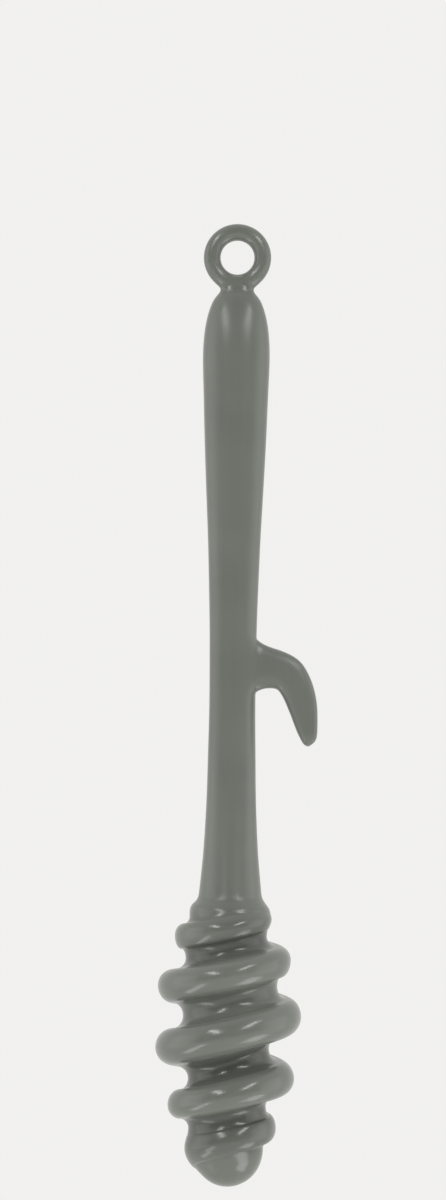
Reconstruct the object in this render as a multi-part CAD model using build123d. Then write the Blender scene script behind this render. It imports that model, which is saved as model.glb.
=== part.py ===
from build123d import *
import math
import os

os.makedirs("parts", exist_ok=True)

# Frame: the hanging hole's centre is the origin, +Z runs up the long axis, -Y is the front and
# the hook points along +X. A drop is a distance below the origin, so a place is at z = -drop.
# All lengths are in millimetres. Names that end in SHARES hold parts of a named length.

# Hanging ring
OVERALL_LENGTH = 200.0
RING_OUTER_RADIUS = 7.0
RING_HOLE_RADIUS = 3.5
RING_DEPTH = 3.8
RING_LAND = 1.5
RING_OUTER_ROUND = 1.6
TIP_DROP = OVERALL_LENGTH - RING_OUTER_RADIUS

# Neck under the ring, and the stem that plugs the ring into the handle
NECK_DROP = 6.7
NECK_TOP_DROP = 5.2
NECK_HALF_WIDTH = 3.43
NECK_HALF_DEPTH = 2.3
STEM_WIDTH = 4.0
STEM_THICKNESS = 2.4
STEM_LENGTH = 9.0
STEM_ROUND = 0.6

# Handle, an oval a little squarer than an ellipse that turns round where it meets the head
HANDLE_HALF_WIDTH = 6.95
HANDLE_HALF_DEPTH = 5.8
OVAL_POWER = 2.25
ROUND_POWER = 2.0
ROUND_FROM_SHARE = 0.84

# Spigot under the handle that carries the head, with two flats that stop the head turning
SPIGOT_RADIUS = 3.5
SPIGOT_LENGTH = 22.0
SPIGOT_ACROSS_FLATS = 5.6
SPIGOT_CHAMFER = 0.6

# Rim hook on the right of the waist, and the tenon that plugs it into the handle
HOOK_REACH = 17.76
HOOK_ROOT_DROP = 77.2
HOOK_TIP_DROP = 101.4
HOOK_THICKNESS = 5.0
HOOK_POWER = 3.2
TENON_DROP = 84.9
TENON_HEIGHT = 5.5
TENON_THICKNESS = 2.6
TENON_START = 0.2
TENON_END = 5.6
TENON_ROUND = 0.5

# Thread of the head: its crest drops half a turn at a time, counted from the first one on the
# right, and the pitch swells towards the middle. With a lean it crosses the front and the back
# in steep, nearly straight bands and eases off at the sides; none would be an even helix
THREAD_MID_DROP = 160.9
THREAD_HALF_TURN = 5.37
THREAD_SWELL = 1.79
THREAD_HALF_TURNS = 9
FIRST_HALF_TURN = -0.9
SHOULDER_HALF_TURNS = 1.6
THREAD_LEAN = 0.42
CREST_SHARE = 0.59
LOW_THREAD_SHARE = 0.12
HEAD_RADIUS = 15.35
TIP_RADIUS = 7.4
TIP_FLAT_RADIUS = 0.5

# Clearance all round each plug in its socket, and the gap under its end
PLUG_CLEARANCE = 0.05
PLUG_END_GAP = 0.3

# How finely the smooth skins are laid out and fitted
HEAD_ROWS = 8
HEAD_COLUMNS = 12
TIP_ROWS = 14
HANDLE_ROWS = 56
ROW_CROWDING = 4.0
OVAL_COLUMNS = 36
SKIN_DEGREE = 3
SKIN_FIT = 0.004

# Neck rows as (share of its height, share of its half-width, share of its half-depth)
NECK_SHARES = (
    (0.0, 1.0, 1.0), (0.2, 1.006, 0.965), (0.4, 1.03, 0.90), (0.6, 1.09, 0.83), (0.8, 1.17, 0.76),
    (1.0, 1.22, 0.70),
)

# Handle as (share of its length down from the neck, share of its half-width)
WIDTH_SHARES = (
    (0.0, 0.494), (0.003, 0.508), (0.0065, 0.548), (0.0105, 0.612), (0.018, 0.707), (0.03, 0.8),
    (0.046, 0.884), (0.066, 0.95), (0.09, 0.99), (0.115, 1.0), (0.181, 0.96), (0.247, 0.921),
    (0.313, 0.869), (0.362, 0.827), (0.411, 0.785), (0.477, 0.745), (0.544, 0.71), (0.617, 0.694),
    (0.692, 0.689), (0.758, 0.71), (0.84, 0.741), (0.922, 0.815), (0.971, 0.894), (1.0, 0.95),
)

# Handle as (share of its length, depth to width as a share of that at its widest place)
DEPTH_SHARES = (
    (0.0, 0.8), (0.02, 0.92), (0.07, 1.0), (0.2, 0.98), (0.4, 0.96), (0.62, 0.98), (0.8, 1.0),
    (0.92, 1.1), (1.0, 1.198),
)

# Head as (half turns of the thread, share of its radius) along the groove and along the crest
CORE_SHARES = (
    (-0.9, 0.43), (-0.65, 0.474), (-0.45, 0.521), (-0.2, 0.543), (0, 0.546), (0.4, 0.524),
    (1, 0.497), (2, 0.593), (3, 0.653), (4, 0.622), (5, 0.545), (6, 0.545), (7, 0.512),
    (8, 0.535), (9, 0.482), (11, 0.482),
)
CREST_SHARES = (
    (-0.9, 0.43), (-0.65, 0.474), (-0.45, 0.524), (-0.2, 0.547), (0, 0.56), (1, 0.745),
    (2, 0.828), (3, 0.968), (4, 0.978), (5, 0.993), (6, 0.892), (7, 0.817), (8, 0.65),
    (9, 0.582), (9.6, 0.51), (10.2, 0.482), (11, 0.482),
)

# Rows along the hook from inside the handle to the tip. Each holds the outer edge's place, the
# inner edge's place and the thickness: shares of the reach, of the height above the tip, of the
# reach, of that height, and of the thickness at the root
HOOK_SHARES = (
    (0.152, 1.000, 0.152, 0.376, 1.120),
    (0.203, 0.999, 0.203, 0.377, 1.100),
    (0.245, 0.992, 0.248, 0.384, 1.070),
    (0.270, 0.967, 0.272, 0.405, 1.040),
    (0.282, 0.942, 0.284, 0.430, 1.020),
    (0.301, 0.911, 0.306, 0.457, 1.010),
    (0.335, 0.882, 0.343, 0.480, 1.000),
    (0.386, 0.864, 0.389, 0.494, 1.000),
    (0.456, 0.846, 0.445, 0.497, 1.000),
    (0.535, 0.829, 0.498, 0.494, 1.000),
    (0.625, 0.804, 0.535, 0.480, 0.990),
    (0.721, 0.769, 0.560, 0.458, 0.980),
    (0.808, 0.717, 0.580, 0.434, 0.970),
    (0.876, 0.640, 0.601, 0.405, 0.950),
    (0.926, 0.560, 0.626, 0.367, 0.930),
    (0.961, 0.479, 0.654, 0.318, 0.915),
    (0.984, 0.399, 0.684, 0.267, 0.900),
    (0.997, 0.316, 0.712, 0.212, 0.885),
    (1.000, 0.233, 0.740, 0.159, 0.870),
    (1.000, 0.163, 0.768, 0.111, 0.855),
    (0.998, 0.110, 0.794, 0.074, 0.830),
    (0.988, 0.068, 0.816, 0.043, 0.760),
    (0.968, 0.040, 0.838, 0.021, 0.640),
    (0.941, 0.022, 0.860, 0.008, 0.440),
    (0.918, 0.012, 0.883, 0.002, 0.220),
)


def smooth_value(pairs, place):
    """Value at a place on the smooth curve that runs through all the pairs."""

    def slope(index):
        before = pairs[max(index - 1, 0)]
        after = pairs[min(index + 1, len(pairs) - 1)]
        return (after[1] - before[1]) / (after[0] - before[0])

    place = min(max(place, pairs[0][0]), pairs[-1][0])
    low = 0
    while low < len(pairs) - 2 and pairs[low + 1][0] <= place:
        low += 1
    width = pairs[low + 1][0] - pairs[low][0]
    t = (place - pairs[low][0]) / width
    start = (1 - t) ** 2 * ((1 + 2 * t) * pairs[low][1] + t * width * slope(low))
    end = t**2 * ((3 - 2 * t) * pairs[low + 1][1] + (t - 1) * width * slope(low + 1))
    return start + end


def solid_with_skin(rows):
    """Solid with one smooth skin through closed rows of points and a flat lid at each end."""
    skin = Face.make_surface_from_array_of_points(
        rows, tol=SKIN_FIT, min_deg=SKIN_DEGREE, max_deg=SKIN_DEGREE
    )
    lids = [Face(Wire([edge])) for edge in skin.edges() if edge.is_closed]
    return Solid(Shell([skin] + lids))


def oval_points(power):
    """Points round a unit oval: an ellipse at power 2, squarer as the power grows."""
    points = []
    for column in range(OVAL_COLUMNS):
        angle = 2 * math.pi * column / OVAL_COLUMNS
        x, y = math.cos(angle), math.sin(angle)
        reach = (abs(x) ** power + abs(y) ** power) ** (-1 / power)
        points.append((reach * x, reach * y))
    return points


def oval_row(half_width, half_depth, drop, power):
    """Closed row of points round the handle's oval at one drop."""
    row = [Vector(half_width * x, half_depth * y, -drop) for x, y in oval_points(power)]
    return row + row[:1]


def thread_drop(half_turns):
    """Drop of the thread's crest after a number of half turns."""
    middle = half_turns - THREAD_HALF_TURNS / 2
    swell = THREAD_SWELL * math.sin(2 * math.pi * middle / THREAD_HALF_TURNS)
    return THREAD_MID_DROP + THREAD_HALF_TURN * middle + swell


def soft_ramp(share):
    """Ramp that stays at 0 below no share, at 1 above a whole one, and bends gently between."""
    share = min(max(share, 0), 1)
    return share**2 * (3 - 2 * share)


HEAD_DROP = thread_drop(FIRST_HALF_TURN)
HANDLE_LENGTH = HEAD_DROP - NECK_DROP
TIP_CENTRE_DROP = thread_drop(THREAD_HALF_TURNS)


def ring_body():
    """Eye with a rounded section and a short straight land in its hole."""
    width = RING_OUTER_RADIUS - RING_HOLE_RADIUS
    block = Pos(RING_HOLE_RADIUS + width / 2, 0) * Rectangle(width, RING_DEPTH)
    section = fillet(block.vertices().group_by(Axis.X)[0], (RING_DEPTH - RING_LAND) / 2)
    section = fillet(section.vertices().group_by(Axis.X)[-1], RING_OUTER_ROUND)
    return Rot(90, 0, 0) * revolve(Rot(90, 0, 0) * section, Axis.Z)


def neck_skin():
    """Short neck that widens from the handle's top lid up into the ring."""
    rows = []
    for share, wide, deep in NECK_SHARES:
        drop = NECK_DROP + share * (NECK_TOP_DROP - NECK_DROP)
        rows.append(oval_row(NECK_HALF_WIDTH * wide, NECK_HALF_DEPTH * deep, drop, OVAL_POWER))
    return solid_with_skin(rows)


def ring_stem(grow, end_gap):
    """Stem that plugs the ring into the handle's top."""
    outline = RectangleRounded(
        STEM_WIDTH + 2 * grow, STEM_THICKNESS + 2 * grow, STEM_ROUND + grow
    )
    length = STEM_LENGTH + end_gap
    return Pos(0, 0, -NECK_DROP - length) * extrude(outline, length)


def hanging_ring():
    """Ring, neck and stem in one piece, flat where it sits on the handle."""
    ring = split(ring_body(), bisect_by=Plane.XY.offset(-NECK_DROP), keep=Keep.TOP)
    return ring + neck_skin() + ring_stem(0, 0)


def handle_skin():
    """Outside of the handle from the neck to the head."""
    rows = []
    for index in range(HANDLE_ROWS + 1):
        even = index / HANDLE_ROWS
        share = even * (1 + ROW_CROWDING * even) / (1 + ROW_CROWDING)
        width_share = smooth_value(WIDTH_SHARES, share)
        half_width = HANDLE_HALF_WIDTH * width_share
        half_depth = HANDLE_HALF_DEPTH * width_share * smooth_value(DEPTH_SHARES, share)
        ramp = soft_ramp((share - ROUND_FROM_SHARE) / (1 - ROUND_FROM_SHARE))
        power = OVAL_POWER + (ROUND_POWER - OVAL_POWER) * ramp
        rows.append(oval_row(half_width, half_depth, NECK_DROP + share * HANDLE_LENGTH, power))
    return solid_with_skin(rows)


def head_spigot(grow, end_gap):
    """Round spigot with two flats that plugs the handle into the head."""
    length = SPIGOT_LENGTH + end_gap
    across = SPIGOT_ACROSS_FLATS + 2 * grow
    outline = Circle(SPIGOT_RADIUS + grow) & Rectangle(2 * SPIGOT_RADIUS + 2 * grow, across)
    return Pos(0, 0, -HEAD_DROP - length) * extrude(outline, length)


def handle():
    """Handle with its spigot, and with sockets for the ring's stem and the hook's tenon."""
    spigot = head_spigot(0, 0)
    spigot = chamfer(spigot.edges().group_by(Axis.Z)[0], SPIGOT_CHAMFER)
    body = handle_skin() + spigot
    body -= ring_stem(PLUG_CLEARANCE, PLUG_END_GAP)
    return body - hook_tenon(PLUG_CLEARANCE, PLUG_END_GAP)


def hook_skin():
    """Hook with rounded edges; each row lies across it, from its outer to its inner edge."""
    rise = HOOK_ROOT_DROP - HOOK_TIP_DROP
    rows = []
    for outer_x, outer_z, inner_x, inner_z, thick in HOOK_SHARES:
        outer = Vector(HOOK_REACH * outer_x, 0, -HOOK_TIP_DROP - rise * outer_z)
        inner = Vector(HOOK_REACH * inner_x, 0, -HOOK_TIP_DROP - rise * inner_z)
        middle, across = (outer + inner) / 2, (outer - inner) / 2
        depth = Vector(0, HOOK_THICKNESS / 2 * thick, 0)
        row = [middle + across * x + depth * y for x, y in oval_points(HOOK_POWER)]
        rows.append(row + row[:1])
    return solid_with_skin(rows)


def hook_tenon(grow, end_gap):
    """Tenon that plugs the hook into the handle's side."""
    outline = RectangleRounded(
        TENON_THICKNESS + 2 * grow, TENON_HEIGHT + 2 * grow, TENON_ROUND + grow
    )
    plug = extrude(Plane.YZ * outline, TENON_END - TENON_START + end_gap)
    return Pos(TENON_START - end_gap, 0, -TENON_DROP) * plug


def rim_hook():
    """Hook, cut to the handle's side, with its tenon."""
    return hook_skin() - handle_skin() + hook_tenon(0, 0)


def thread_section():
    """One pitch of the thread from crest to crest as (share of the pitch, share of its height).

    It is a chain of half circles: a wide round crest, then a narrow round groove.
    """
    crest, groove = CREST_SHARE / 2, (1 - CREST_SHARE) / 2
    half, hollow = [], []
    for column in range(HEAD_COLUMNS + 1):
        turn = math.pi / 2 * column / HEAD_COLUMNS
        half.append((crest * math.sin(turn), 2 * (groove + crest * math.cos(turn))))
    for column in range(1, HEAD_COLUMNS):
        turn = math.pi * column / HEAD_COLUMNS - math.pi / 2
        hollow.append((1 / 2 + groove * math.sin(turn), 2 * groove * (1 - math.cos(turn))))
    return half + hollow + [(1 - along, up) for along, up in reversed(half)]


def head_row(half_turns, drop, narrowing):
    """Closed row round the head at one drop; the rows turn with the thread as they go down.

    Each point takes the radius of the crest and of the groove nearest above or below it, except
    on the shoulder, where the whole row takes them at its own height and so stays round. Where
    the thread is low its section turns into an even wave. The lean lifts and lowers the points
    a little round the row, and fades out at the shoulder and at the tip.
    """
    follow = soft_ramp((half_turns - FIRST_HALF_TURN) / SHOULDER_HALF_TURNS)
    lean = THREAD_LEAN / (2 * math.pi) * follow * soft_ramp(THREAD_HALF_TURNS - half_turns)
    row = []
    for along, up in thread_section()[:-1]:
        to_crest = 2 * (along if along < 1 / 2 else along - 1)
        to_groove = 2 * along - 1
        crest = smooth_value(CREST_SHARES, half_turns + follow * to_crest)
        core = smooth_value(CORE_SHARES, half_turns + follow * to_groove)
        rise = max(crest - core, 0)
        wave = (1 + math.cos(2 * math.pi * along)) / 2
        height = wave + (up - wave) * soft_ramp(rise / LOW_THREAD_SHARE)
        angle = -math.pi * (half_turns + 2 * along)
        leant = thread_drop(half_turns + lean * math.sin(2 * angle)) - thread_drop(half_turns)
        radius = HEAD_RADIUS * narrowing * (core + rise * height)
        row.append(Vector(radius * math.cos(angle), radius * math.sin(angle), -drop - leant))
    return row + row[:1]


def head_skin():
    """Outside of the head: shoulder, thread and round tip."""
    rows = []
    threaded = THREAD_HALF_TURNS - FIRST_HALF_TURN
    count = round(threaded * HEAD_ROWS)
    for index in range(count + 1):
        half_turns = FIRST_HALF_TURN + threaded * index / count
        rows.append(head_row(half_turns, thread_drop(half_turns), 1))
    last = math.acos(TIP_FLAT_RADIUS / TIP_RADIUS)
    for index in range(1, TIP_ROWS + 1):
        angle = last * index / TIP_ROWS
        fall = (TIP_DROP - TIP_CENTRE_DROP) * math.sin(angle) / math.sin(last)
        half_turns = THREAD_HALF_TURNS + index / HEAD_ROWS
        rows.append(head_row(half_turns, TIP_CENTRE_DROP + fall, math.cos(angle)))
    return solid_with_skin(rows)


def dipper_head():
    """Head with a blind socket for the handle's spigot."""
    return head_skin() - head_spigot(PLUG_CLEARANCE, PLUG_END_GAP)


export_step(hanging_ring(), "parts/hanging_ring.step")
export_step(handle(), "parts/handle.step")
export_step(rim_hook(), "parts/rim_hook.step")
export_step(dipper_head(), "parts/dipper_head.step")
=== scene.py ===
"""Looks of a plastic honey dipper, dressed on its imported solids.

Fields and tables hold millimetres, and a mesh turns them into metres when it is made. The origin
is the hanging hole's centre, +Z runs up the tool, -Y is the front and the rim hook points to +X.
A drop is a distance below the origin. The real tool is one moulding, so the four pieces share one
run of ovals and meet without a step.
"""
import logging
import math
from abc import ABC, abstractmethod
from collections.abc import Callable
from dataclasses import dataclass
from enum import Enum
from functools import cached_property
from itertools import product
from typing import ClassVar

import bmesh
import bpy
import numpy as np
from mathutils import Matrix, Vector


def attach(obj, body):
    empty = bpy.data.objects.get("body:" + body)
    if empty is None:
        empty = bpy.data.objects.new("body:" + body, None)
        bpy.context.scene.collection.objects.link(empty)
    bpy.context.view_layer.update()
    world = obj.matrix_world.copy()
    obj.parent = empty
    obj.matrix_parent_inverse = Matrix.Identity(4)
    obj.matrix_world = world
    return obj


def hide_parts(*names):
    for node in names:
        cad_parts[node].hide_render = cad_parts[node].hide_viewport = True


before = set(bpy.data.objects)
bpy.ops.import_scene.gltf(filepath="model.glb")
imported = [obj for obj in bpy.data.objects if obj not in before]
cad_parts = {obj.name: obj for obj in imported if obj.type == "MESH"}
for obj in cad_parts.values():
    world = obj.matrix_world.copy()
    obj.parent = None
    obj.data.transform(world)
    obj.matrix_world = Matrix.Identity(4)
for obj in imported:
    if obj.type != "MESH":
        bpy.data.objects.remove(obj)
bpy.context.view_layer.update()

LOG = logging.getLogger("honey_dipper")
MM = 0.001
TINY = 1e-9  # keeps a division from nought
BODY = "root"

Table = tuple[tuple[float, ...], ...]
Span = tuple[float, float]
Triple = tuple[float, float, float]
Shape = Callable[[np.ndarray], np.ndarray]
Socket = bpy.types.NodeSocket
Source = Socket | float | tuple[float, ...]


def smooth_value(table: Table, places: np.ndarray) -> np.ndarray:
    """Value at each place on the smooth curve that runs through all the rows of a table.

    Between two rows it is a cubic that leaves each of them with the slope between its own two
    neighbours: (1-t)^2 ((1+2t) a + t w s) + t^2 ((3-2t) b + (t-1) w e), where t is the share of
    the width w, a and b are the values and s and e the slopes.

    Args:
        table: Rows of (place, value) in rising order of place.
        places: Where the curve is read; past the ends it keeps its end values.

    Returns:
        The values, in the shape of places.
    """
    at, value = np.array(table, float).T
    before = np.maximum(np.arange(len(at)) - 1, 0)
    after = np.minimum(np.arange(len(at)) + 1, len(at) - 1)
    slope = (value[after] - value[before]) / (at[after] - at[before])
    places = np.clip(places, at[0], at[-1])
    low = np.clip(np.searchsorted(at, places, side="right") - 1, 0, len(at) - 2)
    width = at[low + 1] - at[low]
    t = (places - at[low]) / width
    start = (1 - t) ** 2 * ((1 + 2 * t) * value[low] + t * width * slope[low])
    end = t**2 * ((3 - 2 * t) * value[low + 1] + (t - 1) * width * slope[low + 1])
    return start + end


def smooth_step(low: float, high: float, places: np.ndarray) -> np.ndarray:
    """Ramp that rises from 0 at low to 1 at high as 3 t^2 - 2 t^3."""
    t = np.clip((places - low) / (high - low), 0, 1)
    return t * t * (3 - 2 * t)


def softened(values: np.ndarray, reach: float, tail: int = 4) -> np.ndarray:
    """Values with each one a Gaussian mean of its neighbours along the first axis.

    The run goes on past each end by a half turn about that end, so the ends stay where they are.

    Args:
        values: Samples along a curve, one row each.
        reach: The Gaussian's standard deviation in samples.
        tail: How many deviations of it count on each side.

    Returns:
        The softened samples, in the same shape.
    """
    count = math.ceil(tail * reach)
    kernel = np.exp(-0.5 * (np.arange(-count, count + 1) / reach) ** 2)
    kernel /= kernel.sum()
    before = 2 * values[:1] - values[count:0:-1]
    after = 2 * values[-1:] - values[-2 : -count - 2 : -1]
    longer = np.concatenate([before, values, after])
    if longer.ndim == 1:
        return np.convolve(longer, kernel, mode="valid")
    return np.stack([np.convolve(column, kernel, mode="valid") for column in longer.T], axis=1)


def oval(power: np.ndarray | float, count: int) -> tuple[np.ndarray, np.ndarray]:
    """Points round a unit oval, evenly turned: |x|^power + |y|^power = 1.

    Args:
        power: One power, or one per row in an array with a last axis of one.
        count: How many points go round.

    Returns:
        The x and y of the points.
    """
    angle = 2 * np.pi * np.arange(count) / count
    x, y = np.cos(angle), np.sin(angle)
    reach = (np.abs(x) ** power + np.abs(y) ** power) ** (-1 / power)
    return reach * x, reach * y


def smooth_union(first: np.ndarray, second: np.ndarray, fillet: np.ndarray | float) -> np.ndarray:
    """Distance to two shapes joined with a fillet: the lesser one less h^2 fillet / 4.

    Here h goes from 0, where the two distances differ by the fillet, to 1 where they are equal.

    Args:
        first: Distances to one shape, positive outside it.
        second: Distances to the other.
        fillet: How near the two distances are where the fillet starts.

    Returns:
        The distances to the joined shape.
    """
    near = np.maximum(fillet - np.abs(first - second), 0) / fillet
    return np.minimum(first, second) - near**2 * fillet / 4


@dataclass(frozen=True)
class Faces:
    """Faces of a mesh as whole arrays: quads and triangles that index the same points."""

    quads: np.ndarray
    triangles: np.ndarray

    def into_mesh(self, name: str, points: np.ndarray) -> bpy.types.Mesh:
        """Makes a smooth mesh in metres, turned outwards.

        Args:
            name: The mesh's name.
            points: The points in millimetres, one row each.

        Returns:
            The new mesh.
        """
        quads, triangles = self.quads, self.triangles
        if self.volume(points) < 0:
            quads, triangles = quads[:, ::-1], triangles[:, ::-1]
        corners = np.concatenate([quads.ravel(), triangles.ravel()])
        starts = np.concatenate([
            4 * np.arange(len(quads)), 4 * len(quads) + 3 * np.arange(len(triangles))
        ])
        mesh = bpy.data.meshes.new(name)
        mesh.vertices.add(len(points))
        mesh.vertices.foreach_set("co", (points * MM).astype(np.float32).ravel())
        mesh.loops.add(len(corners))
        mesh.loops.foreach_set("vertex_index", corners.astype(np.int32))
        mesh.polygons.add(len(starts))
        mesh.polygons.foreach_set("loop_start", starts.astype(np.int32))
        mesh.update(calc_edges=True)
        mesh.validate()
        mesh.polygons.foreach_set("use_smooth", np.ones(len(starts), bool))
        return mesh

    def volume(self, points: np.ndarray) -> float:
        """Signed volume: the sum of a . (b x c) / 6 over the triangles, with quads cut in two.

        Args:
            points: The points that the faces index.

        Returns:
            The volume, negative where the faces point inwards.
        """
        halves = [self.triangles, self.quads[:, [0, 1, 2]], self.quads[:, [0, 2, 3]]]
        a, b, c = (points[np.concatenate(halves)[:, corner]] for corner in range(3))
        return float(np.einsum("ij,ij->i", a, np.cross(b, c)).sum() / 6)


def closed_skin(name: str, rows: np.ndarray) -> bpy.types.Mesh:
    """Mesh of a tube of closed rows of points, shut at each end by a fan about one point.

    Args:
        name: The mesh's name.
        rows: Points in millimetres as (rows, columns, 3); each end fan meets in its row's mean.

    Returns:
        The closed mesh.
    """
    count, columns = rows.shape[:2]
    here = np.arange(columns)
    there = (here + 1) % columns
    base = columns * np.arange(count - 1)[:, None]
    quads = np.stack(
        [base + here, base + there, base + columns + there, base + columns + here], axis=-1
    ).reshape(-1, 4)
    first, last = count * columns, count * columns + 1
    bottom = (count - 1) * columns
    triangles = np.concatenate([
        np.stack([there, here, np.full(columns, first)], axis=-1),
        np.stack([bottom + here, bottom + there, np.full(columns, last)], axis=-1),
    ])
    ends = np.stack([rows[0].mean(axis=0), rows[-1].mean(axis=0)])
    return Faces(quads, triangles).into_mesh(name, np.concatenate([rows.reshape(-1, 3), ends]))


def skin_normals(rows: np.ndarray) -> np.ndarray:
    """Unit normals of a tube of closed rows: the cross product of its two grid directions.

    Args:
        rows: Points of the tube as (rows, columns, 3).

    Returns:
        The normals in the same shape, turned away from the tube's middle.
    """
    across = np.roll(rows, -1, axis=1) - np.roll(rows, 1, axis=1)
    along = np.gradient(rows, axis=0)
    normal = np.cross(across, along)
    normal /= np.linalg.norm(normal, axis=-1, keepdims=True) + TINY
    outward = rows - rows.mean(axis=1, keepdims=True)
    return normal * np.sign(np.einsum("ijk,ijk->", normal, outward))


def surface_net(
    shape: Shape, low: Triple, high: Triple, cell: float
) -> tuple[np.ndarray, np.ndarray]:
    """Quads over the surface where a shape's distance is nought.

    Each cell of a grid that the surface crosses gets one point, the mean of the crossings on its
    edges. Each grid edge that is crossed joins the four cells round it with a quad.

    Args:
        shape: Function from points to distances, negative inside.
        low: Lowest corner of the grid in millimetres.
        high: Highest corner.
        cell: Side of a cell.

    Returns:
        The points, and the quads that index them.
    """
    axes = [
        start + cell * np.arange(math.ceil((end - start) / cell) + 1)
        for start, end in zip(low, high)
    ]
    grid = np.stack(np.meshgrid(*axes, indexing="ij"), axis=-1)
    value = shape(grid)
    hits = np.zeros([len(places) - 1 for places in axes])
    total = np.zeros((*hits.shape, 3))
    halves = (slice(None, -1), slice(1, None))
    for axis in range(3):
        first, second = (np.moveaxis(value, axis, 0)[half] for half in halves)
        crossed = (first < 0) != (second < 0)
        change = np.where(crossed, first - second, 1)
        place = np.moveaxis(grid, axis, 0)[:-1].copy()
        place[..., axis] += cell * np.where(crossed, first / change, 0)
        for near, far in product(halves, repeat=2):
            hit = crossed[:, near, far]
            np.moveaxis(hits, axis, 0)[...] += hit
            np.moveaxis(total, axis, 0)[...] += np.where(hit[..., None], place[:, near, far], 0)
    index = np.full(hits.shape, -1)
    index[hits > 0] = np.arange(np.count_nonzero(hits))
    quads = []
    turn = ((0, 0), (1, 0), (1, 1), (0, 1))
    for axis in range(3):
        inside = np.moveaxis(value, axis, 0)[:, 1:-1, 1:-1] < 0
        crossed = inside[:-1] != inside[1:]
        cells = np.moveaxis(index, axis, 0)
        corners = [cells[:, halves[near], halves[far]][crossed] for near, far in turn]
        quad = np.stack(corners, axis=-1)
        flip = inside[:-1][crossed] == (axis == 1)
        quad[flip] = quad[flip][:, ::-1]
        quads.append(quad)
    return total[hits > 0] / hits[hits > 0][:, None], np.concatenate(quads)


def relaxed(points: np.ndarray, quads: np.ndarray) -> np.ndarray:
    """Points moved half way to the mean of their neighbours along the quads' edges.

    Args:
        points: The net's points.
        quads: The quads that index them.

    Returns:
        The moved points.
    """
    total = np.zeros_like(points)
    count = np.zeros(len(points))
    for corner, step in product(range(4), (1, 3)):
        np.add.at(total, quads[:, corner], points[quads[:, (corner + step) % 4]])
        np.add.at(count, quads[:, corner], 1)
    return (points + total / np.maximum(count, 1)[:, None]) / 2


def slope_step(shape: Shape, points: np.ndarray, reach: float) -> np.ndarray:
    """Step that takes points down to the surface: distance times slope over slope squared.

    Args:
        shape: Function from points to distances.
        points: Points near the surface.
        reach: How far to each side of a point the slope is read.

    Returns:
        What to take off each point.
    """
    slope = np.stack([
        (shape(points + reach * axis) - shape(points - reach * axis)) / (2 * reach)
        for axis in np.eye(3)
    ], axis=-1)
    return (shape(points) / (slope**2).sum(axis=-1))[:, None] * slope


def cut_flat(mesh: bpy.types.Mesh, height: float, touch: float = 1e-4) -> None:
    """Cuts away what lies below a height and shuts the cut with a flat lid.

    Args:
        mesh: The closed mesh to cut.
        height: The cut's height in millimetres.
        touch: How near the cut a point counts as on it.
    """
    work = bmesh.new()
    work.from_mesh(mesh)
    everything = work.verts[:] + work.edges[:] + work.faces[:]
    bmesh.ops.bisect_plane(
        work, geom=everything, plane_co=(0, 0, height * MM), plane_no=(0, 0, -1),
        clear_outer=True, dist=touch * MM,
    )
    rim = [edge for edge in work.edges if edge.is_boundary]
    bmesh.ops.edgeloop_fill(work, edges=rim)
    bmesh.ops.recalc_face_normals(work, faces=work.faces[:])
    work.to_mesh(mesh)
    work.free()


@dataclass(frozen=True)
class Thread:
    """Run of the head's single thread, counted in half turns from its first whole crest.

    Rows of its tables are (half turn, share of the radius), and its softness is in steps.
    """

    middle_drop: float = 160.9
    half_turn: float = 5.37
    swell: float = 1.79
    half_turns: float = 9.0
    first: float = -0.9
    last: float = 11.0
    step: float = 0.02
    softness: float = 9.0
    soft_span: Span = (0.1, 0.9)
    lean: float = 0.42
    radius: float = 15.35
    core_shares: Table = (
        (-0.9, 0.43), (-0.65, 0.474), (-0.45, 0.521), (-0.2, 0.543), (0, 0.546), (0.4, 0.524),
        (1, 0.497), (2, 0.593), (3, 0.653), (4, 0.622), (5, 0.545), (6, 0.545), (7, 0.512),
        (8, 0.535), (9, 0.482), (11, 0.482),
    )
    crest_shares: Table = (
        (-0.9, 0.43), (-0.65, 0.474), (-0.45, 0.524), (-0.2, 0.547), (0, 0.56), (1, 0.745),
        (2, 0.828), (3, 0.968), (4, 0.978), (5, 0.993), (6, 0.892), (7, 0.817), (8, 0.65),
        (9, 0.582), (9.6, 0.51), (10.2, 0.482), (11, 0.482),
    )

    def drop(self, turns: np.ndarray | float) -> np.ndarray | float:
        """Drop of the crest: the middle, plus an even step per half turn, plus a sine swell.

        Args:
            turns: Places along the thread in half turns.

        Returns:
            The drops, in the same shape.
        """
        middle = turns - self.half_turns / 2
        swell = self.swell * np.sin(2 * np.pi * middle / self.half_turns)
        return self.middle_drop + self.half_turn * middle + swell

    def radius_at(self, shares: Table, turns: np.ndarray) -> np.ndarray:
        """Radius along the crest or the groove, with its bends softened below the shoulder.

        Args:
            shares: The table of the crest or of the groove.
            turns: Places along the thread in half turns.

        Returns:
            The radii, in the same shape.
        """
        run = np.arange(self.first, self.last + self.step / 4, self.step)
        exact = smooth_value(shares, run)
        soft = softened(exact, self.softness)
        blend = smooth_step(*self.soft_span, run)
        return self.radius * np.interp(turns, run, exact + (soft - exact) * blend)


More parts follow.
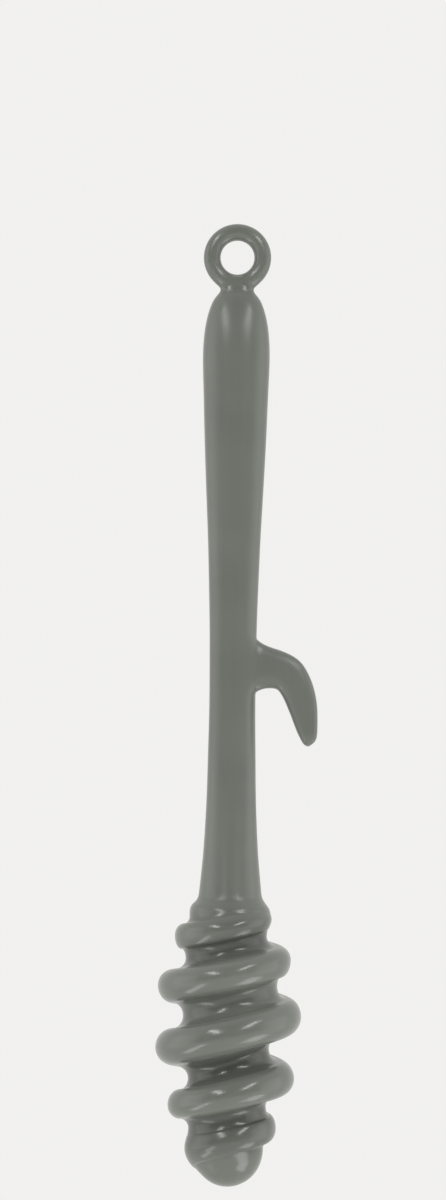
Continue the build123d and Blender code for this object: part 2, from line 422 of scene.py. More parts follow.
@dataclass(frozen=True)
class Barrel:
    """Neck, grip and shoulder as one run of ovals down the tool's long axis.

    The neck's tables go up from the grip's top in shares of the neck's height, and the grip's go
    down from there in shares of its length. Near its end the ovals turn round. Crowding is how
    much closer the rows are at the grip's ends, and softness is in steps of the run.
    """

    thread: Thread = Thread()
    top_drop: float = 4.3
    neck_drop: float = 6.7
    neck_height: float = 1.5
    neck_half_width: float = 3.43
    neck_half_depth: float = 2.3
    half_width: float = 6.95
    half_depth: float = 5.8
    power: float = 2.25
    round_share: float = 0.84
    shoulder_reach: float = 3.2
    shoulder_turn: float = 1.0
    step: float = 0.047
    crowding: float = 0.85
    rows: int = 400
    softness: float = 4.0
    joint_softness: float = 11.0
    joint_span: Span = (0.9, 2.6)
    neck_width_shares: Table = (
        (0.0, 1.0), (0.2, 1.006), (0.4, 1.03), (0.6, 1.09), (0.8, 1.17), (1.0, 1.22),
    )
    neck_depth_shares: Table = (
        (0.0, 1.0), (0.2, 0.965), (0.4, 0.90), (0.6, 0.83), (0.8, 0.76), (1.0, 0.70),
    )
    width_shares: Table = (
        (0.0, 0.494), (0.003, 0.508), (0.0065, 0.548), (0.0105, 0.612), (0.018, 0.707),
        (0.03, 0.8), (0.046, 0.884), (0.066, 0.95), (0.09, 0.99), (0.115, 1.0), (0.181, 0.96),
        (0.247, 0.921), (0.313, 0.869), (0.362, 0.827), (0.411, 0.785), (0.477, 0.745),
        (0.544, 0.71), (0.617, 0.694), (0.692, 0.689), (0.758, 0.71), (0.84, 0.741),
        (0.922, 0.815), (0.971, 0.894), (1.0, 0.95),
    )
    depth_shares: Table = (
        (0.0, 0.8), (0.02, 0.92), (0.07, 1.0), (0.2, 0.98), (0.4, 0.96), (0.62, 0.98),
        (0.8, 1.0), (0.92, 1.1), (1.0, 1.198),
    )

    @property
    def head_drop(self) -> float:
        """Drop of the joint between the grip and the head."""
        return float(self.thread.drop(self.thread.first))

    def grip_drops(self) -> np.ndarray:
        """Drops of the grip's rows, close together at both ends: even less a sine's swing.

        Returns:
            The drops, from the neck to the joint.
        """
        even = np.linspace(0, 1, self.rows + 1)
        share = even - self.crowding * np.sin(2 * np.pi * even) / (2 * np.pi)
        return self.neck_drop + share * (self.head_drop - self.neck_drop)

    def raw(self, drops: np.ndarray) -> np.ndarray:
        """Half-width and half-depth at each drop, read straight from the tables.

        Args:
            drops: Drops from inside the ring to below the shoulder.

        Returns:
            An array of (half-width, half-depth) rows.
        """
        up = (self.neck_drop - drops) / self.neck_height
        wide = self.neck_half_width * smooth_value(self.neck_width_shares, up)
        deep = self.neck_half_depth * smooth_value(self.neck_depth_shares, up)
        share = (drops - self.neck_drop) / (self.head_drop - self.neck_drop)
        width = smooth_value(self.width_shares, share)
        depth = width * smooth_value(self.depth_shares, share)
        turns = np.linspace(self.thread.first, self.shoulder_turn, self.rows)
        turn = np.interp(drops, self.thread.drop(turns), turns)
        core = self.thread.radius_at(self.thread.core_shares, turn)
        on_grip = np.stack([self.half_width * width, self.half_depth * depth], axis=-1)
        on_neck = np.stack([wide, deep], axis=-1)
        on_head = np.stack([core, core], axis=-1)
        below = drops[:, None] > self.head_drop
        return np.where(drops[:, None] < self.neck_drop, on_neck, np.where(below, on_head, on_grip))

    def run(self) -> tuple[np.ndarray, np.ndarray]:
        """The whole run of ovals with its bends softened, most of all at the shoulder.

        Returns:
            The drops, and the (half-width, half-depth) rows at them.
        """
        above = np.arange(self.top_drop, self.neck_drop - self.step / 2, self.step)
        reach = self.head_drop + self.shoulder_reach
        below = np.arange(self.head_drop + self.step, reach, self.step)
        drops = np.concatenate([above, self.grip_drops(), below])
        exact = self.raw(drops)
        fine, coarse = softened(exact, self.softness), softened(exact, self.joint_softness)
        near = 1 - smooth_step(*self.joint_span, np.abs(drops - self.head_drop))
        return drops, fine + (coarse - fine) * near[:, None]

    def halves(self, drops: np.ndarray) -> np.ndarray:
        """Softened (half-width, half-depth) at any drops, read off the run in straight steps."""
        at, values = self.run()
        return np.stack([np.interp(drops, at, column) for column in values.T], axis=-1)

    def powers(self, drops: np.ndarray) -> np.ndarray:
        """Power of the oval at each drop: a little square on the grip, round at the head."""
        start = self.neck_drop + self.round_share * (self.head_drop - self.neck_drop)
        return self.power + (2 - self.power) * smooth_step(start, self.head_drop, drops)

    def distance(self, points: np.ndarray) -> np.ndarray:
        """Rough distance from the barrel's skin, along the line from the long axis.

        It is (g - 1) r / g, where g is the oval's own measure of the point and r its radius.

        Args:
            points: Points with a last axis of three.

        Returns:
            Their distances, negative inside.
        """
        drops = -points[..., 2]
        half, power = self.halves(drops), self.powers(drops)
        x, y = np.abs(points[..., 0]) / half[..., 0], np.abs(points[..., 1]) / half[..., 1]
        measure = (x**power + y**power) ** (1 / power) + TINY
        return (measure - 1) * np.hypot(points[..., 0], points[..., 1]) / measure


class Zone(Enum):
    """Parts of the mould, as (mean roughness, strength of the flow streaks) of the moulding."""

    GRIP = (0.317, 0.25)
    RING = (0.235, 0.08)
    HEAD = (0.21, 0.05)

    @property
    def roughness(self) -> float:
        """Mean roughness of the zone."""
        return self.value[0]

    @property
    def streaks(self) -> float:
        """Strength of the flow streaks in the zone's colour."""
        return self.value[1]


@dataclass(frozen=True)
class Piece(ABC):
    """One piece of the moulding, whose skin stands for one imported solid."""

    node: ClassVar[str]
    zone: ClassVar[Zone]
    sharp_angle: ClassVar[float] = 50.0
    barrel: Barrel

    @property
    def name(self) -> str:
        """Name of the piece's skin."""
        return f"{self.node}_skin"

    @abstractmethod
    def mesh(self) -> bpy.types.Mesh:
        """Closed skin of the piece in its place."""

    def build(self, finish: bpy.types.Material) -> None:
        """Shows the piece's skin in place of its solid and dresses both.

        Args:
            finish: The material that both wear.
        """
        mesh = self.mesh()
        mesh.set_sharp_from_angle(angle=math.radians(self.sharp_angle))
        shown = bpy.data.objects.new(self.name, mesh)
        bpy.context.scene.collection.objects.link(shown)
        for data in (mesh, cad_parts[self.node].data):
            data.materials.clear()
            data.materials.append(finish)
        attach(shown, BODY)
        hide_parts(self.node)
        triangles = sum(len(face.vertices) - 2 for face in mesh.polygons)
        LOG.info("%s: %d triangles, stands for %s", shown.name, triangles, self.node)


@dataclass(frozen=True)
class Grip(Piece):
    """The handle between the ring's neck and the head's shoulder."""

    node: ClassVar[str] = "handle"
    zone: ClassVar[Zone] = Zone.GRIP
    columns: int = 144

    def mesh(self) -> bpy.types.Mesh:
        """Skin of the grip: ovals of the barrel, each one placed at its drop.

        Returns:
            The closed mesh.
        """
        drops = self.barrel.grip_drops()
        half = self.barrel.halves(drops)
        x, y = oval(self.barrel.powers(drops)[:, None], self.columns)
        z = np.broadcast_to(-drops[:, None], x.shape)
        return closed_skin(self.name, np.stack([half[:, :1] * x, half[:, 1:] * y, z], axis=-1))


@dataclass(frozen=True)
class Ring(Piece):
    """The hanging ring and its neck, joined with a fillet and cut flat where the grip starts.

    The grid of cells that finds its skin runs a margin past it. The slope is read a share of a
    cell to each side of a point.
    """

    node: ClassVar[str] = "hanging_ring"
    zone: ClassVar[Zone] = Zone.RING
    hole_radius: float = 3.5
    outer_radius: float = 7.0
    half_depth: float = 1.9
    power: float = 2.05
    fillet: float = 0.7
    cell: float = 0.13
    margin: float = 0.5
    below_cut: float = 0.7
    rounds: int = 3
    slides: int = 4
    slope_share: float = 0.05

    def distance(self, points: np.ndarray) -> np.ndarray:
        """Distance to the ring with its neck: a squarish tube round the hole, and the barrel.

        Args:
            points: Points with a last axis of three.

        Returns:
            Their distances, negative inside.
        """
        middle = (self.outer_radius + self.hole_radius) / 2
        half = (self.outer_radius - self.hole_radius) / 2
        x, y, z = np.moveaxis(points, -1, 0)
        out = np.abs(np.hypot(x, z) - middle) / half
        deep = np.abs(y) / self.half_depth
        measure = (out**self.power + deep**self.power) ** (1 / self.power)
        ring = (measure - 1) * half
        neck = np.maximum(self.barrel.distance(points), z + self.barrel.top_drop)
        return smooth_union(ring, neck, self.fillet)

    def mesh(self) -> bpy.types.Mesh:
        """Skin of the ring, found on a grid of cells.

        In each round the net's points are relaxed, and then slide down the distance's own slope
        onto the surface.

        Returns:
            The closed mesh.
        """
        side, deep = self.outer_radius + self.margin, self.half_depth + 2 * self.margin
        low = (-side, -deep, -self.barrel.neck_drop - self.below_cut)
        points, quads = surface_net(self.distance, low, (side, deep, side), self.cell)
        reach = self.slope_share * self.cell
        for _ in range(self.rounds):
            points = relaxed(points, quads)
            for _ in range(self.slides):
                points = points - slope_step(self.distance, points, reach)
        mesh = Faces(quads, np.zeros((0, 3), int)).into_mesh(self.name, points)
        cut_flat(mesh, -self.barrel.neck_drop)
        return mesh


@dataclass(frozen=True)
class Hook(Piece):
    """The rim hook: an oval carried along a crook, with a fillet where it leaves the grip.

    Rows of its table run from the root to the tip as (outer edge's x and z, inner edge's x and z,
    thickness), with x in shares of the reach and z in shares of the rise from the tip's drop to
    the root's. Between the two fade shares of the reach, the fillet's growth dies away.
    """

    node: ClassVar[str] = "rim_hook"
    zone: ClassVar[Zone] = Zone.GRIP
    reach: float = 17.755
    root_drop: float = 77.2
    tip_drop: float = 101.4
    thickness: float = 5.0
    power: float = 3.2
    softness: float = 4.0
    rows: int = 300
    columns: int = 112
    fillet: float = 0.8
    edge_share: float = 0.25
    full_share: float = 0.97
    fade_shares: Span = (0.3, 0.5)
    rounds: int = 40
    pace: float = 0.7
    shares: Table = (
        (0.080, 1.000, 0.080, 0.376, 1.220), (0.116, 1.000, 0.116, 0.376, 1.220),
        (0.152, 1.000, 0.152, 0.376, 1.220), (0.203, 0.999, 0.203, 0.377, 1.180),
        (0.245, 0.960, 0.248, 0.420, 1.110), (0.270, 0.925, 0.272, 0.455, 1.070),
        (0.282, 0.915, 0.284, 0.464, 1.050), (0.301, 0.903, 0.306, 0.474, 1.030),
        (0.335, 0.885, 0.343, 0.486, 1.000), (0.386, 0.866, 0.389, 0.495, 1.000),
        (0.456, 0.846, 0.445, 0.497, 1.000), (0.535, 0.829, 0.498, 0.494, 1.000),
        (0.625, 0.804, 0.535, 0.480, 0.990), (0.721, 0.769, 0.560, 0.458, 0.980),
        (0.808, 0.717, 0.580, 0.434, 0.970), (0.876, 0.640, 0.601, 0.405, 0.950),
        (0.926, 0.560, 0.626, 0.367, 0.930), (0.961, 0.479, 0.654, 0.318, 0.915),
        (0.984, 0.399, 0.684, 0.267, 0.900), (0.997, 0.316, 0.712, 0.212, 0.885),
        (1.000, 0.233, 0.740, 0.159, 0.870), (1.000, 0.163, 0.768, 0.111, 0.855),
        (0.998, 0.110, 0.794, 0.074, 0.830), (0.988, 0.068, 0.816, 0.043, 0.760),
        (0.968, 0.040, 0.838, 0.021, 0.640), (0.941, 0.022, 0.860, 0.008, 0.440),
        (0.922, 0.012, 0.883, 0.002, 0.220), (0.906, 0.003, 0.897, 0.001, 0.030),
    )

    def skin_rows(self) -> np.ndarray:
        """Closed rows across the crook, from its outer edge to its inner edge and back.

        A row's middle and half-length come from its two edges, and its depth from the thickness.

        Returns:
            The points in millimetres as (rows, columns, 3).
        """
        place = np.linspace(0, len(self.shares) - 1, self.rows)
        columns = [smooth_value(tuple(enumerate(column)), place) for column in zip(*self.shares)]
        read = softened(np.stack(columns, axis=1), self.softness)
        outer_x, outer_z, inner_x, inner_z, thick = read.T
        rise = self.tip_drop - self.root_drop
        none = np.zeros_like(outer_x)
        outer = np.stack([self.reach * outer_x, none, rise * outer_z - self.tip_drop], axis=-1)
        inner = np.stack([self.reach * inner_x, none, rise * inner_z - self.tip_drop], axis=-1)
        middle, across = (outer + inner)[:, None] / 2, (outer - inner)[:, None] / 2
        deep = np.stack([none, thick * self.thickness / 2, none], axis=-1)[:, None]
        x, y = oval(self.power, self.columns)
        return middle + across * x[None, :, None] + deep * y[None, :, None]

    def mesh(self) -> bpy.types.Mesh:
        """Skin of the hook; near the grip it moves outwards onto the fillet between the two.

        A point moves along its normal, a pace of what is left to the joined shape in each round,
        and never quite by the whole fillet, which is smaller on the hook's edges.

        Returns:
            The closed mesh.
        """
        rows = self.skin_rows()
        normal = skin_normals(rows)
        fillet = self.fillet * (self.edge_share + (1 - self.edge_share) * np.abs(normal[..., 1]))
        grow = np.zeros(rows.shape[:2])
        for _ in range(self.rounds):
            there = self.barrel.distance(rows + grow[..., None] * normal)
            step = self.pace * smooth_union(grow, there, fillet)
            grow = np.clip(grow - step, 0, self.full_share * fillet)
        start, end = (share * self.reach for share in self.fade_shares)
        grow = grow * (1 - smooth_step(start, end, rows[..., 0]))
        return closed_skin(self.name, rows + grow[..., None] * normal)


@dataclass(frozen=True)
class Head(Piece):
    """The dipper's head: shoulder, one right-handed thread and a round tip.

    The crest's share is of the pitch. The section starts to follow the thread over the first
    half turns below the shoulder, and the tip closes over the last ones. Where the thread rises
    by less than the low share of its radius, its section is softer.
    """

    node: ClassVar[str] = "dipper_head"
    zone: ClassVar[Zone] = Zone.HEAD
    crest_share: float = 0.59
    follow_turns: float = 1.6
    low_share: float = 0.16
    tip_drop: float = 193.0
    tip_turns: float = 1.1
    shift_span: Span = (1.2, 2.8)
    shift_samples: int = 120
    meridians: int = 168
    columns: int = 34

    def section(self) -> tuple[np.ndarray, np.ndarray]:
        """One pitch from crest to crest: a chain of half circles, crest then groove.

        Returns:
            The shares of the pitch along, and the shares of the thread's height.
        """
        crest, groove = self.crest_share / 2, (1 - self.crest_share) / 2
        turn = np.linspace(0, np.pi / 2, self.columns)
        half, high = crest * np.sin(turn), 2 * (groove + crest * np.cos(turn))
        bend = np.linspace(-np.pi / 2, np.pi / 2, self.columns)[1:-1]
        along = np.concatenate([half, 0.5 + groove * np.sin(bend), 1 - half[:0:-1]])
        up = np.concatenate([high, 2 * groove * (1 - np.cos(bend)), high[:0:-1]])
        return along, up

    def skin(self, n: np.ndarray, along: np.ndarray, up: np.ndarray | float) -> np.ndarray:
        """Points of the skin for rows of the thread and places in its section.

        A point at share u of the pitch stands at the angle -pi (n + 2u) in row n. Its radius is
        core + (crest - core) times its height in the section, and core and crest are read at
        the groove and the crest nearest above or below it. Where the thread is low, the section
        turns into the even wave (1 + cos 2 pi u) / 2. The lean moves a point along the thread's
        drops by lean / 2 pi times the sine of twice its angle, so that the bands are steep in
        front and ease off at the sides, and it fades over the thread's last half turn. Round
        the tip, the radius narrows as a cosine while the drop grows as a sine.

        Args:
            n: Row numbers in half turns of the thread.
            along: Shares of the pitch, u.
            up: Shares of the thread's height.

        Returns:
            The points in millimetres, with a last axis of three.
        """
        thread = self.barrel.thread
        bend = np.clip((n - thread.half_turns) / self.tip_turns, 0, np.pi / 2)
        start = float(thread.drop(thread.half_turns))
        threaded = thread.drop(np.minimum(n, thread.half_turns))
        drops = threaded + (self.tip_drop - start) * np.sin(bend)
        follow = smooth_step(thread.first, thread.first + self.follow_turns, n)
        to_crest = 2 * np.where(along < 0.5, along, along - 1)
        crest = thread.radius_at(thread.crest_shares, n + follow * to_crest)
        core = thread.radius_at(thread.core_shares, n + follow * (2 * along - 1))
        rise = np.maximum(crest - core, 0)
        wave = (1 + np.cos(2 * np.pi * along)) / 2
        height = wave + (up - wave) * smooth_step(0, self.low_share * thread.radius, rise)
        radius = np.cos(bend) * (core + rise * height) + self.shoulder_shift(drops)
        angle = -np.pi * (n + 2 * along)
        fade = follow * smooth_step(0, 1, thread.half_turns - n)
        leant = n + thread.lean / (2 * np.pi) * fade * np.sin(2 * angle)
        z = -drops - (thread.drop(leant) - thread.drop(n))
        return np.stack([radius * np.cos(angle), radius * np.sin(angle), z], axis=-1)

    def shoulder_shift(self, drops: np.ndarray) -> np.ndarray:
        """How far the softened run of ovals moves the shoulder out, fading below the joint.

        Args:
            drops: Drops on the head.

        Returns:
            What to add to the radius at each.
        """
        top = self.barrel.head_drop
        start, end = (top + below for below in self.shift_span)
        at = np.linspace(top, end, self.shift_samples)
        shift = self.barrel.halves(at)[:, 0] - self.barrel.raw(at)[:, 0]
        return np.interp(drops, at, shift * (1 - smooth_step(start, end, at)))

    def net(self) -> tuple[np.ndarray, np.ndarray]:
        """Net of meridians and of lines that follow the thread.

        The point at share u of the pitch on the meridian turned by w half turns is in row
        w + 2 lap - 2u. What lies above the first row shrinks to the meridian's point on the
        joint's circle, and what lies below the last one to the tip's pole.

        Returns:
            The points: those between the two rows, the joint's circle, the tip's pole and the
            joint's middle. Then the number of the point at each (meridian, place down it).
        """
        thread = self.barrel.thread
        along, up = (values[::-1] for values in self.section())
        turned = 2 * np.arange(self.meridians) / self.meridians
        laps = np.arange(-1, math.ceil(thread.half_turns / 2) + 2)
        n = (turned[:, None, None] + 2 * laps[:, None] - 2 * along).reshape(self.meridians, -1)
        along, up = (np.broadcast_to(np.tile(values, len(laps)), n.shape) for values in (along, up))
        last = thread.half_turns + self.tip_turns * np.pi / 2
        inside = (n > thread.first) & (n < last)
        count = np.count_nonzero(inside)
        index = np.where(n >= last, count + self.meridians, 0)
        index = np.where(n <= thread.first, count + np.arange(self.meridians)[:, None], index)
        index[inside] = np.arange(count)
        points = self.skin(n, along, up)[inside]
        rim = self.skin(np.full(self.meridians, thread.first), turned / 2 - thread.first / 2, 0.0)
        ends = [[0, 0, -self.tip_drop], [0, 0, -self.barrel.head_drop]]
        return np.concatenate([points, rim, ends]), index

    def mesh(self) -> bpy.types.Mesh:
        """Skin of the head: the net's quads cut in two, without the halves that shrank to lines.

        The last meridian is joined to the first one a lap further down, and a flat lid of
        triangles closes the joint's circle.

        Returns:
            The closed mesh.
        """
        points, index = self.net()
        middle, pole = len(points) - 1, len(points) - 2
        lap = len(self.section()[0])
        wrapped = np.concatenate([index[:1, lap:], np.full((1, lap), pole)], axis=1)
        beside = np.concatenate([index[1:], wrapped])
        quads = np.stack([index[:, :-1], beside[:, :-1], beside[:, 1:], index[:, 1:]], axis=-1)
        quads = quads.reshape(-1, 4)
        here = np.arange(pole - self.meridians, pole)
        lid = np.stack([np.roll(here, -1), here, np.full_like(here, middle)], axis=1)
        triangles = np.concatenate([quads[:, [0, 1, 2]], quads[:, [0, 2, 3]], lid])
        a, b, c = triangles.T
        triangles = triangles[(a != b) & (b != c) & (c != a)]
        return Faces(np.zeros((0, 4), int), triangles).into_mesh(self.name, points)


@dataclass(frozen=True)
class Nodes:
    """Node tree of a material or of the world, with short ways to add to it."""

    tree: bpy.types.NodeTree

    @cached_property
    def place(self) -> Socket:
        """The surface's own coordinates, in metres."""
        return self.add("TexCoord", {}).outputs["Object"]

    def feed(self, node: bpy.types.Node, inputs: dict[str | int, Source]) -> None:
        """Gives each named socket of a node its link or its plain value.

        Args:
            node: The node to feed.
            inputs: What goes in, by the socket's name or number.
        """
        for key, source in inputs.items():
            if isinstance(source, Socket):
                self.tree.links.new(source, node.inputs[key])
            else:
                node.inputs[key].default_value = source

    def add(self, kind: str, inputs: dict[str | int, Source], **options: str) -> bpy.types.Node:
        """Adds a node, sets its options and feeds its sockets.

        Args:
            kind: Blender's name for the node, less its "ShaderNode".
            inputs: What goes in, by the socket's name or number.
            options: The node's own options, such as its operation.

        Returns:
            The new node.
        """
        node = self.tree.nodes.new(f"ShaderNode{kind}")
        for name, option in options.items():
            setattr(node, name, option)
        self.feed(node, inputs)
        return node

    def math(self, operation: str, *values: Source) -> Socket:
        """Result of one sum, such as ADD or MULTIPLY_ADD, of sockets and numbers."""
        return self.add("Math", dict(enumerate(values)), operation=operation).outputs["Value"]

    def length(self, vector: Socket) -> Socket:
        """Length of a vector."""
        return self.add("VectorMath", {0: vector}, operation="LENGTH").outputs["Value"]

    def ramp(self, value: Socket, start: Span, end: Span, way: str = "SMOOTHSTEP") -> Socket:
        """Value carried from one span onto another, as 3 t^2 - 2 t^3 or straight, and held past it.

        Args:
            value: The value to carry.
            start: The span that it is read on.
            end: The span that it lands on.
            way: SMOOTHSTEP or LINEAR.

        Returns:
            The carried value.
        """
        inputs = {
            "Value": value, "From Min": start[0], "From Max": start[1],
            "To Min": end[0], "To Max": end[1],
        }
        return self.add("MapRange", inputs, interpolation_type=way).outputs["Result"]

    def background(self, colour: Triple, strength: Source) -> Socket:
        """Light of one colour from all round."""
        return self.add("Background", {"Color": (*colour, 1), "Strength": strength}).outputs[0]

    def mixed(self, share: Socket, first: Socket, second: Socket) -> Socket:
        """Shader that turns from the first into the second as the share goes from 0 to 1."""
        return self.add("MixShader", {"Fac": share, 1: first, 2: second}).outputs["Shader"]

    def rays(self, *kinds: str) -> Socket:
        """Switch that is one for rays of the named kinds, and nought for the rest.

        Args:
            kinds: Names of the Light Path node's outputs.

        Returns:
            The switch's value.
        """
        path = self.add("LightPath", {})
        total = path.outputs[kinds[0]]
        for kind in kinds[1:]:
            total = self.math("MAXIMUM", total, path.outputs[kind])
        return total


@dataclass(frozen=True)
class Speckle:
    """Noise of one scale: blotches size millimetres across, stretch times as long up the tool.

    Its reach is how far it swings to each side, or how deep it is in millimetres as relief.
    """

    size: float
    reach: float
    detail: float = 1.0
    stretch: float = 1.0
    usual: ClassVar[Span] = (0.3, 0.7)

    def height(self, nodes: Nodes) -> Socket:
        """The plain noise, which is mostly between 0.3 and 0.7.

        Args:
            nodes: The material's nodes.

        Returns:
            The noise's value.
        """
        scale = (1, 1, 1 / self.stretch)
        mapping = nodes.add("Mapping", {"Vector": nodes.place, "Scale": scale})
        inputs = {
            "Vector": mapping.outputs["Vector"],
            "Scale": 1 / (self.size * MM),
            "Detail": self.detail,
        }
        return nodes.add("TexNoise", inputs).outputs["Fac"]

    def relief(self, nodes: Nodes, under: Source = (0, 0, 0)) -> Socket:
        """Normal of the noise as a bump of its reach, on top of the normal that lies under it."""
        inputs = {"Height": self.height(nodes), "Distance": self.reach * MM, "Normal": under}
        return nodes.add("Bump", inputs).outputs["Normal"]

    def swing(self, nodes: Nodes, share: float = 1.0) -> Socket:
        """The noise spread from its usual span to a share of its reach on each side of nought."""
        reach = self.reach * share
        return nodes.ramp(self.height(nodes), self.usual, (-reach, reach), "LINEAR")


@dataclass(frozen=True)
class MouldedPlastic:
    """Grey satin plastic with a fine mould grain, faint flow streaks and light handling marks.

    The three spans are drops, from where a change starts to where it ends.
    """

    colour: Triple = (0.168, 0.178, 0.155)
    refraction: float = 1.5
    clouds: Speckle = Speckle(size=14, reach=0.05, detail=2)
    streaks: Speckle = Speckle(size=1.4, reach=0.05, stretch=22)
    rubbed: Speckle = Speckle(size=9, reach=0.025, detail=4)
    scuffs: Speckle = Speckle(size=1.2, reach=0.008, stretch=4)
    ripple: Speckle = Speckle(size=5.0, reach=0.012, stretch=1.6)
    grain: Speckle = Speckle(size=0.6, reach=0.004, detail=2)
    # Painted shade in the head's grooves and painted light on its crests, and the drops where they
    # fade out
    groove_painted_shade: float = 0.34
    crest_painted_light: float = 0.05
    groove_radius: float = 8.2
    crest_radius: float = 11.0
    painted_shade_top: Span = (135.5, 139.5)
    painted_shade_tip: Span = (187.5, 183.5)
    blend_from: Span = (132.9, 137.5)

    def material(self, zone: Zone) -> bpy.types.Material:
        """Builds the finish for one part of the mould.

        Args:
            zone: The part of the mould that it comes from.

        Returns:
            The node material.
        """
        made = bpy.data.materials.new(f"satin_{zone.name.lower()}")
        made.use_nodes = True
        made.diffuse_color = (*self.colour, 1)
        nodes = Nodes(made.node_tree)
        shader = made.node_tree.nodes["Principled BSDF"]
        nodes.feed(shader, {"IOR": self.refraction, "Base Color": (*self.colour, 1)})
        nodes.feed(shader, {
            "Base Color": self._colour(nodes, zone),
            "Roughness": self._roughness(nodes, zone),
            "Normal": self._relief(nodes),
        })
        return made

    def _colour(self, nodes: Nodes, zone: Zone) -> Socket:
        """Base colour: wide clouds and fine flow streaks, lighter and darker by a few hundredths.

        Args:
            nodes: The material's nodes.
            zone: The part of the mould.

        Returns:
            The colour.
        """
        clouds = self.clouds.swing(nodes)
        streaks = self.streaks.swing(nodes, zone.streaks)
        share = nodes.math("ADD", nodes.math("ADD", clouds, streaks), 1.0)
        # The head's colour gets painted shade in its grooves and painted light on its crests
        if zone is Zone.HEAD:
            share = nodes.math("MULTIPLY", share, self._painted_shade_share(nodes))
        inputs = {0: self.colour, "Scale": share}
        return nodes.add("VectorMath", inputs, operation="SCALE").outputs["Vector"]

    def _down(self, nodes: Nodes, drops: Span, ends: Span) -> Socket:
        """Value that goes from the first end to the second one between two drops.

        Args:
            nodes: The material's nodes.
            drops: Where the change starts and ends.
            ends: The values there.

        Returns:
            The value.
        """
        split = nodes.add("SeparateXYZ", {"Vector": nodes.place})
        start, end = (-drop * MM for drop in drops)
        return nodes.ramp(split.outputs["Z"], (start, end), ends)

    def _painted_shade_share(self, nodes: Nodes) -> Socket:
        """Share of the colour with painted shade and painted light: grooves darker, crests lighter.

        From the grooves' radius to the crests' radius it rises from one less the painted groove
        shade to one more the painted crest light, and it fades to one at the shoulder and at the
        tip.

        Args:
            nodes: The material's nodes.

        Returns:
            The share.
        """
        flat = nodes.add("VectorMath", {0: nodes.place, 1: (1, 1, 0)}, operation="MULTIPLY")
        radius = nodes.length(flat.outputs["Vector"])
        span = (self.groove_radius * MM, self.crest_radius * MM)
        # Painted shade darkens the grooves and painted light brightens the crests
        change = nodes.ramp(radius, span, (-self.groove_painted_shade, self.crest_painted_light))
        below, above = (
            self._down(nodes, drops, (0.0, 1.0)) for drops in (self.painted_shade_top, self.painted_shade_tip)
        )
        return nodes.math("MULTIPLY_ADD", change, nodes.math("MULTIPLY", below, above), 1.0)

    def _roughness(self, nodes: Nodes, zone: Zone) -> Socket:
        """Roughness: patches rubbed smoother by hands, and thin scuffs.

        The head takes the grip's mean at the joint and goes over to its own below it.

        Args:
            nodes: The material's nodes.
            zone: The part of the mould.

        Returns:
            The roughness.
        """
        rubbed, scuffs = (marks.swing(nodes) for marks in (self.rubbed, self.scuffs))
        mean = zone.roughness
        if zone is Zone.HEAD:
            mean = self._down(nodes, self.blend_from, (Zone.GRIP.roughness, mean))
        return nodes.math("ADD", nodes.math("ADD", rubbed, scuffs), mean)

    def _relief(self, nodes: Nodes) -> Socket:
        """Bump: fine mould grain over long, shallow waves that shrinkage leaves."""
        return self.grain.relief(nodes, self.ripple.relief(nodes))


@dataclass(frozen=True)
class Softbox:
    """One oblong studio light that faces the tool; its lean to the right is in degrees."""

    name: str
    direction: Triple
    watts: float
    size: Span
    distance: float
    lean: float = 0.0

    def build(self, target: Vector) -> None:
        """Adds the lamp at its distance along its direction from the target.

        Args:
            target: The point that it faces, in metres.
        """
        lamp = bpy.data.lights.new(self.name, "AREA")
        lamp.shape = "RECTANGLE"
        lamp.size, lamp.size_y = (side * MM for side in self.size)
        lamp.energy = self.watts
        stand = bpy.data.objects.new(self.name, lamp)
        stand.visible_camera = False
        away = Vector(self.direction).normalized()
        stand.location = target + away * (self.distance * MM)
        facing = away.to_track_quat("Z", "Y").to_matrix()
        turn = Matrix.Rotation(-math.radians(self.lean), 3, "Z")
        stand.rotation_euler = (facing @ turn).to_euler()
        bpy.context.scene.collection.objects.link(stand)


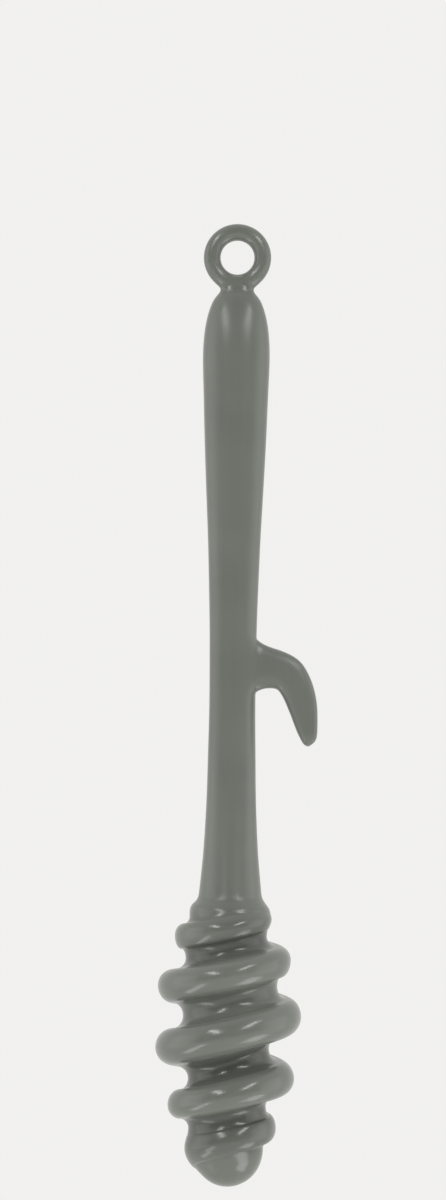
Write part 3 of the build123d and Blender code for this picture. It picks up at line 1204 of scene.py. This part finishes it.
@dataclass(frozen=True)
class Studio:
    """Pale floor, six softboxes, and white surroundings that darken downwards and to the front.

    The sides' numbers are shares of the surroundings' strength. The front span is the share of
    a direction that points backwards, from where the light is weakest to where it is full.
    """

    floor_drop: float = 750.0
    floor_side: float = 8000.0
    floor_fade: Span = (250.0, 1000.0)
    pale: Triple = (0.88, 0.875, 0.86)
    surroundings: float = 0.62
    front_span: Span = (-0.8, 0.0)
    camera_side: float = 0.08
    under_side: float = 0.35
    over_side: float = 1.35
    aim_drop: float = 100.0
    boxes: tuple[Softbox, ...] = (
        Softbox("upper_left", (-0.46, -0.72, 0.53), 3.15, (170, 640), 1100, -45),
        Softbox("upper_right", (0.46, -0.72, 0.53), 3.15, (170, 640), 1100, 45),
        Softbox("lower_left", (-0.60, -0.42, -0.68), 0.6, (120, 500), 600, 52),
        Softbox("lower_right", (0.623, -0.293, -0.725), 0.75, (280, 280), 600),
        Softbox("side_left", (-0.98, -0.17, 0.05), 3.0, (1200, 1200), 1300),
        Softbox("side_right", (0.98, -0.17, 0.05), 3.0, (1200, 1200), 1300),
    )

    def build(self) -> None:
        """Sets up the view, the surroundings, the floor and the lamps."""
        scene = bpy.context.scene
        scene.view_settings.view_transform = "Standard"
        self._world(scene)
        self._floor(scene)
        for box in self.boxes:
            box.build(Vector((0, 0, -self.aim_drop * MM)))

    def _world(self, scene: bpy.types.Scene) -> None:
        """White light all round, weaker below and from the camera's side, and a pale backdrop.

        The strength along a direction rises as 3 t^2 - 2 t^3 from the camera's side to the back,
        times a straight rise from below to above. Mirror rays see the backdrop instead, with
        the same fall towards the camera's side.

        Args:
            scene: The scene that gets the world.
        """
        world = bpy.data.worlds.new("studio")
        world.use_nodes = True
        world.node_tree.nodes.clear()
        scene.world = world
        nodes = Nodes(world.node_tree)
        towards = nodes.add("TexCoord", {}).outputs["Generated"]
        split = nodes.add("SeparateXYZ", {"Vector": towards})
        fall = nodes.ramp(split.outputs["Y"], self.front_span, (self.camera_side, 1.0))
        lift = nodes.ramp(
            split.outputs["Z"], (-1.0, 1.0), (self.under_side, self.over_side), "LINEAR"
        )
        strength = nodes.math("MULTIPLY", nodes.math("MULTIPLY", fall, lift), self.surroundings)
        light = nodes.background((1, 1, 1), strength)
        mirrored = nodes.background(self.pale, fall)
        backdrop = nodes.background(self.pale, 1.0)
        shining = nodes.mixed(nodes.rays("Is Glossy Ray"), light, mirrored)
        straight = nodes.rays("Is Camera Ray", "Is Transmission Ray")
        nodes.add("OutputWorld", {"Surface": nodes.mixed(straight, shining, backdrop)})

    def _floor(self, scene: bpy.types.Scene) -> None:
        """Pale floor under the hanging tool.

        Args:
            scene: The scene that it goes into.
        """
        half, z = self.floor_side / 2 * MM, -self.floor_drop * MM
        corners = [(-half, -half, z), (half, -half, z), (half, half, z), (-half, half, z)]
        mesh = bpy.data.meshes.new("floor")
        mesh.from_pydata(corners, [], [(0, 1, 2, 3)])
        mesh.materials.append(self._floor_finish())
        floor = bpy.data.objects.new("floor", mesh)
        scene.collection.objects.link(floor)

    def _floor_finish(self) -> bpy.types.Material:
        """Matte pale finish that far off fades into the backdrop's colour as it is seen.

        Returns:
            The node material.
        """
        made = bpy.data.materials.new("pale_floor")
        made.use_nodes = True
        made.node_tree.nodes.clear()
        nodes = Nodes(made.node_tree)
        matte = nodes.add("BsdfDiffuse", {"Color": (*self.pale, 1)})
        glow = nodes.add("Emission", {"Color": (*self.pale, 1)})
        start, end = (reach * MM for reach in self.floor_fade)
        fade = nodes.ramp(nodes.length(nodes.place), (start, end), (0.0, 1.0))
        seen = nodes.rays("Is Camera Ray", "Is Glossy Ray", "Is Transmission Ray")
        share = nodes.math("MULTIPLY", fade, seen)
        surface = nodes.mixed(share, matte.outputs["BSDF"], glow.outputs["Emission"])
        nodes.add("OutputMaterial", {"Surface": surface})
        return made


@dataclass(frozen=True)
class Camera:
    """Camera of the front view, level with the grip's middle and a little rolled.

    The roll is a slope, sideways over up.
    """

    centre_x: float = -2.19
    centre_drop: float = 71.14
    frame_height: float = 249.3
    distance: float = 1380.0
    roll: float = 0.01157
    sensor: float = 36.0
    clip: Span = (50.0, 50000.0)

    def build(self) -> None:
        """Adds the camera; its lens makes the frame's height at the tool's own distance."""
        data = bpy.data.cameras.new("front_camera")
        data.sensor_width = self.sensor
        data.lens = self.sensor * self.distance / self.frame_height
        data.clip_start, data.clip_end = (reach * MM for reach in self.clip)
        holder = bpy.data.objects.new("front_camera", data)
        turn = Matrix.Rotation(math.pi / 2, 4, "X") @ Matrix.Rotation(math.atan(self.roll), 4, "Z")
        at = Vector((self.centre_x, -self.distance, -self.centre_drop)) * MM
        holder.matrix_world = Matrix.Translation(at) @ turn
        bpy.context.scene.collection.objects.link(holder)
        bpy.context.scene.camera = holder


def main() -> None:
    logging.basicConfig(level=logging.INFO, format="%(name)s: %(message)s")
    Studio().build()
    Camera().build()
    plastic = MouldedPlastic()
    finishes = {zone: plastic.material(zone) for zone in Zone}
    barrel = Barrel()
    for piece in (Ring(barrel), Grip(barrel), Hook(barrel), Head(barrel)):
        piece.build(finishes[piece.zone])


if __name__ == "__main__":
    main()
